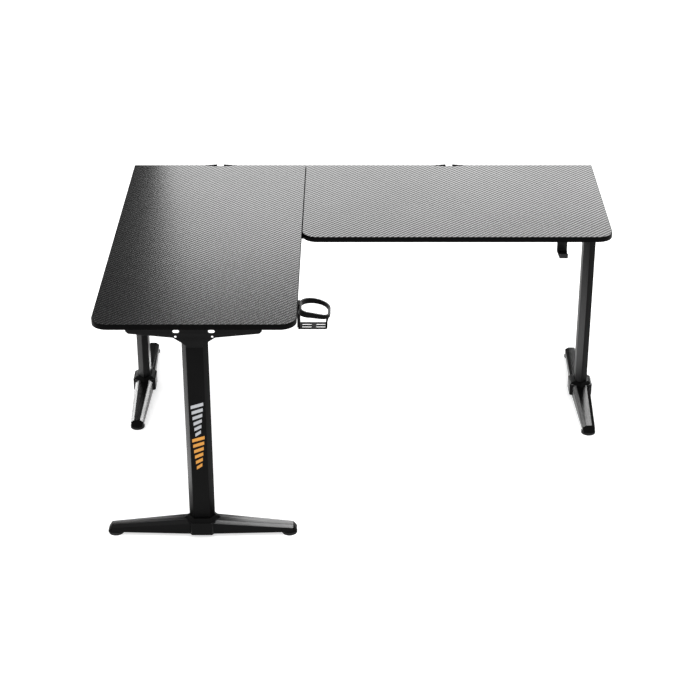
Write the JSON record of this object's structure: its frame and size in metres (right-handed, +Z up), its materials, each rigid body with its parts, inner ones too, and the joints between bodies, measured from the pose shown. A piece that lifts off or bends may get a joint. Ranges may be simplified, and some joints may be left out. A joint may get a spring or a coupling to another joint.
{
  "type": "corner desk",
  "caption": "L-shaped corner desk: butted dark boards on T-shaped black steel legs, with cup holder, headset hook, rear cable slots and levelling feet.",
  "frame": {"origin": "the middle of the whole desk's footprint, on the floor", "axes": "+X along the rear edge towards the right board, +Y towards the rear, +Z up"},
  "size_m": [1.619, 1.296, 0.75],
  "materials": {
    "board_laminate": "satin laminate with a fine dark woven pattern over a fibreboard core",
    "edge_band": "satin black edging strip",
    "column_paint": "fine black powder coat",
    "foot_paint": "satin black powder coat",
    "frame_paint": "fine black powder coat",
    "hook_paint": "satin black powder coat",
    "moulded_black": "matt black moulding",
    "cup_plastic": "satin black moulding",
    "pad_rubber": "matt black",
    "fastener_steel": "zinc-plated"
  },
  "bodies": {
    "frame": {"bracket_screws": "fastener_steel", "cup_holder": "cup_plastic", "cup_holder_bracket": "hook_paint", "cup_holder_screws": "fastener_steel", "foot_bolts": "fastener_steel", "front_leg_base_plate": "fastener_steel", "front_leg_bracket": "frame_paint", "front_leg_column": "column_paint", "front_leg_column_trim": "moulded_black", "front_leg_end_cap_left": "moulded_black", "front_leg_end_cap_right": "moulded_black", "front_leg_foot": "foot_paint", "front_seam_plate": "frame_paint", "headphone_hook": "hook_paint", "headphone_hook_screws": "fastener_steel", "left_board": "board_laminate", "left_cable_guide": "moulded_black", "left_edge_band": "edge_band", "left_side_tube": "frame_paint", "leveller_inserts": "fastener_steel", "middle_cross_tube": "frame_paint", "rear_cross_tube": "frame_paint", "rear_leg_base_plate": "fastener_steel", "rear_leg_bracket": "frame_paint", "rear_leg_column": "column_paint", "rear_leg_column_trim": "moulded_black", "rear_leg_end_cap_left": "moulded_black", "rear_leg_end_cap_right": "moulded_black", "rear_leg_foot": "foot_paint", "rear_seam_plate": "frame_paint", "right_board": "board_laminate", "right_cable_guide": "moulded_black", "right_edge_band": "edge_band", "right_leg_base_plate": "fastener_steel", "right_leg_bracket": "frame_paint", "right_leg_column": "column_paint", "right_leg_column_trim": "moulded_black", "right_leg_end_cap_left": "moulded_black", "right_leg_end_cap_right": "moulded_black", "right_leg_foot": "foot_paint", "right_side_tube": "frame_paint", "seam_screws": "fastener_steel", "tube_screws": "fastener_steel"},
    "front_leg_leveller_left": {"front_leg_leveller_pad_left": "pad_rubber", "front_leg_leveller_stud_left": "fastener_steel"},
    "front_leg_leveller_right": {"front_leg_leveller_pad_right": "pad_rubber", "front_leg_leveller_stud_right": "fastener_steel"},
    "right_leg_leveller_left": {"right_leg_leveller_pad_left": "pad_rubber", "right_leg_leveller_stud_left": "fastener_steel"},
    "right_leg_leveller_right": {"right_leg_leveller_pad_right": "pad_rubber", "right_leg_leveller_stud_right": "fastener_steel"},
    "rear_leg_leveller_left": {"rear_leg_leveller_pad_left": "pad_rubber", "rear_leg_leveller_stud_left": "fastener_steel"},
    "rear_leg_leveller_right": {"rear_leg_leveller_pad_right": "pad_rubber", "rear_leg_leveller_stud_right": "fastener_steel"}
  },
  "joints": [
    {"name": "front_leg_leveller_left_travel", "type": "slide", "parent": "frame", "child": "front_leg_leveller_left", "axis": [0, 0, -1], "range_m": [0, 0.01]},
    {"name": "front_leg_leveller_right_travel", "type": "slide", "parent": "frame", "child": "front_leg_leveller_right", "axis": [0, 0, -1], "range_m": [0, 0.01]},
    {"name": "right_leg_leveller_left_travel", "type": "slide", "parent": "frame", "child": "right_leg_leveller_left", "axis": [0, 0, -1], "range_m": [0, 0.01]},
    {"name": "right_leg_leveller_right_travel", "type": "slide", "parent": "frame", "child": "right_leg_leveller_right", "axis": [0, 0, -1], "range_m": [0, 0.01]},
    {"name": "rear_leg_leveller_left_travel", "type": "slide", "parent": "frame", "child": "rear_leg_leveller_left", "axis": [0, 0, -1], "range_m": [0, 0.01]},
    {"name": "rear_leg_leveller_right_travel", "type": "slide", "parent": "frame", "child": "rear_leg_leveller_right", "axis": [0, 0, -1], "range_m": [0, 0.01]}
  ]
}
